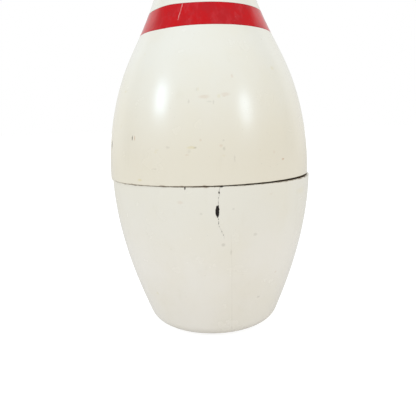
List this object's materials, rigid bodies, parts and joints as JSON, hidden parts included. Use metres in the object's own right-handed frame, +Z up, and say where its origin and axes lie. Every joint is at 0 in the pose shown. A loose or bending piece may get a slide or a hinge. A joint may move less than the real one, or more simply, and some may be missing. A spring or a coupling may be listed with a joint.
{
  "type": "two-part bowling pin",
  "caption": "Hollow bowling pin, turned from laminated boards and coated, that parts at the belly: the upper half lifts off a locating ring.",
  "frame": {"origin": "centre of the felt pad's underside, where the pin stands on the table", "axes": "+Z up along the pin's axis, towards the head; the boards' glue planes are square to X; the pictured front faces -Y"},
  "size_m": [0.1222, 0.1212, 0.357],
  "materials": {
    "upper_coating": "semi-gloss cream coating, warmer towards the seam, with light scratches and specks",
    "lower_coating": "semi-gloss off-white coating, cracked and chipped under the rim",
    "stripe": "glossy red band",
    "maple": "turned maple, bare inside",
    "fibre": "dark vulcanised fibre",
    "felt": "dark green pressed felt"
  },
  "bodies": {
    "lower_half": {"felt_pad": "felt", "lower_board_left_outer": "maple", "lower_board_left_inner": "maple", "lower_board_middle": "maple", "lower_board_right_inner": "maple", "lower_board_right_outer": "maple", "lower_coating": "lower_coating", "locating_ring": "fibre"},
    "upper_half": {"upper_board_left_outer": "maple", "upper_board_left_inner": "maple", "upper_board_middle": "maple", "upper_board_right_inner": "maple", "upper_board_right_outer": "maple", "upper_coating": "upper_coating", "shoulder_stripe": "stripe", "neck_stripe": "stripe"}
  },
  "joints": [
    {"name": "upper_half_lift", "type": "slide", "parent": "lower_half", "child": "upper_half", "axis": [0, 0, 1], "range_m": [0, 0.14]}
  ]
}
